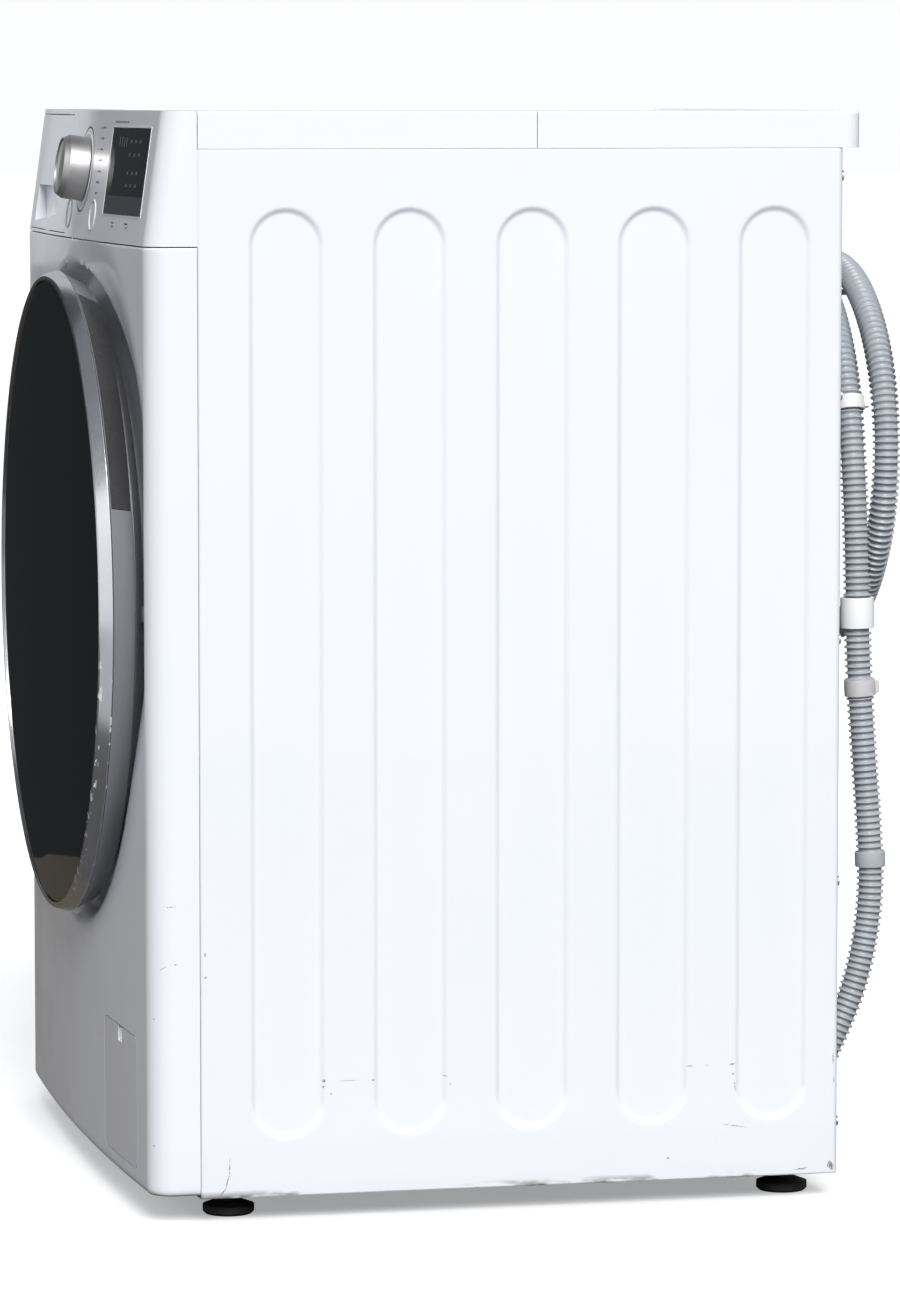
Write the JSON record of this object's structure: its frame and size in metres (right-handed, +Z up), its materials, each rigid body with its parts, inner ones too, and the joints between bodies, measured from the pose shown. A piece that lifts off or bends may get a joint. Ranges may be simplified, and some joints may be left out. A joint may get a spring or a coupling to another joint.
{
  "type": "front load washing machine",
  "caption": "Front-loading washing machine with a large round glazed door, leaning control panel with knob and drawer, ribbed steel sides and a drain hose hung on its back.",
  "frame": {"origin": "on the floor below the middle of the machine's box, drain hose left out", "axes": "+Z up, the door faces -Y, +X is the side with the service flap"},
  "size_m": [0.596, 0.639, 0.85],
  "materials": {
    "painted_steel": "gloss",
    "galvanised": "satin",
    "white_plastic": "gloss",
    "grey_plastic": "satin",
    "black_plastic": "satin",
    "laminate": "satin laminate",
    "silver_band": "satin",
    "ring_grey": "satin",
    "grip_dark": "satin",
    "door_lens": "gloss black",
    "door_glass": "clear",
    "display_glass": "gloss black",
    "knob_silver": "brushed",
    "knob_glass": "gloss",
    "seal_rubber": "matte",
    "black_rubber": "matte",
    "hose_grey": "satin",
    "tie_clear": "translucent",
    "tub_plastic": "matte",
    "concrete": "cast",
    "stainless": "polished",
    "cast_aluminium": "cast",
    "steel": "machined",
    "zinc": "zinc plated"
  },
  "bodies": {
    "cabinet": {"side_panel_left": "painted_steel", "side_panel_right": "painted_steel", "front_panel": "painted_steel", "rear_panel": "galvanised", "rear_service_cover": "galvanised", "base_tray": "grey_plastic", "cross_bars": "galvanised", "top_trim_front": "white_plastic", "top_trim_rear": "white_plastic", "top_board": "laminate", "control_fascia": "white_plastic", "display_window": "display_glass", "control_board": "black_plastic", "drawer_housing": "grey_plastic", "hinge_bracket": "cast_aluminium", "hinge_pin": "steel", "door_lock": "black_plastic", "door_seal": "seal_rubber", "tub_front": "tub_plastic", "tub_rear": "tub_plastic", "counterweights": "concrete", "bearings": "steel", "motor_housing": "cast_aluminium", "drive_belt": "black_rubber", "suspension_springs": "steel", "dampers": "black_plastic", "heater": "stainless", "pump_housing": "black_plastic", "inlet_valve": "tub_plastic", "rear_fasteners": "zinc", "rear_grommets": "black_plastic", "drain_hose": "hose_grey", "hose_ties": "tie_clear", "hose_end": "black_rubber", "hose_hook": "grey_plastic"},
    "door": {"door_rim": "silver_band", "door_ring": "ring_grey", "door_grip": "grip_dark", "door_lens": "door_lens", "door_bowl": "door_glass", "door_inner_frame": "ring_grey", "door_hinge_leaf": "cast_aluminium", "door_hook": "steel"},
    "drum": {"drum": "stainless", "drum_lifters": "tub_plastic", "drum_spider": "cast_aluminium", "drum_pulley": "cast_aluminium"},
    "motor": {"motor_rotor": "steel"},
    "knob": {"knob": "knob_silver", "knob_cap": "knob_glass"},
    "start_button": {"start_button": "white_plastic"},
    "power_button": {"power_button": "white_plastic"},
    "drawer": {"drawer_tray": "white_plastic", "drawer_front": "white_plastic"},
    "service_flap": {"service_flap": "white_plastic"},
    "filter_cap": {"filter_cap": "grey_plastic"},
    "foot_front_left": {"foot_front_left": "black_rubber"},
    "foot_front_right": {"foot_front_right": "black_rubber"},
    "foot_rear_left": {"foot_rear_left": "black_rubber"},
    "foot_rear_right": {"foot_rear_right": "black_rubber"}
  },
  "joints": [
    {"name": "door_hinge", "type": "hinge", "parent": "cabinet", "child": "door", "pos_m": [-0.264, -0.277, 0.464], "axis": [0, 0, -1], "range_deg": [0, 150]},
    {"name": "drum_spin", "type": "hinge", "parent": "cabinet", "child": "drum", "pos_m": [0, 0, 0.464], "axis": [0, 1, 0], "continuous": true},
    {"name": "motor_spin", "type": "hinge", "parent": "cabinet", "child": "motor", "pos_m": [-0.09, 0, 0.132], "axis": [0, 1, 0], "continuous": true},
    {"name": "knob_turn", "type": "hinge", "parent": "cabinet", "child": "knob", "pos_m": [0.016, -0.26442, 0.803], "axis": [0, -0.9904, 0.1379], "continuous": true},
    {"name": "start_press", "type": "slide", "parent": "cabinet", "child": "start_button", "axis": [0, 0.9904, -0.1379], "range_m": [0, 0.0015], "stiffness_N_per_m": 400},
    {"name": "power_press", "type": "slide", "parent": "cabinet", "child": "power_button", "axis": [0, 0.9904, -0.1379], "range_m": [0, 0.0015], "stiffness_N_per_m": 400},
    {"name": "drawer_slide", "type": "slide", "parent": "cabinet", "child": "drawer", "axis": [0, -1, 0], "range_m": [0, 0.2]},
    {"name": "flap_hinge", "type": "hinge", "parent": "cabinet", "child": "service_flap", "pos_m": [0.18625, -0.26675, 0.046], "axis": [0.9993, 0.0373, 0], "range_deg": [0, 95]},
    {"name": "filter_turn", "type": "hinge", "parent": "cabinet", "child": "filter_cap", "pos_m": [0.187, -0.24, 0.088], "axis": [0, -1, 0], "range_deg": [0, 90]},
    {"name": "foot_front_left_turn", "type": "hinge", "parent": "cabinet", "child": "foot_front_left", "pos_m": [-0.25, -0.195, 0.01], "axis": [0, 0, 1], "continuous": true},
    {"name": "foot_front_right_turn", "type": "hinge", "parent": "cabinet", "child": "foot_front_right", "pos_m": [0.25, -0.195, 0.01], "axis": [0, 0, 1], "continuous": true},
    {"name": "foot_rear_left_turn", "type": "hinge", "parent": "cabinet", "child": "foot_rear_left", "pos_m": [-0.25, 0.25, 0.01], "axis": [0, 0, 1], "continuous": true},
    {"name": "foot_rear_right_turn", "type": "hinge", "parent": "cabinet", "child": "foot_rear_right", "pos_m": [0.25, 0.25, 0.01], "axis": [0, 0, 1], "continuous": true}
  ],
  "couplings": [
    {"joint": "motor_spin", "follows": "drum_spin", "ratio": 12.546}
  ]
}
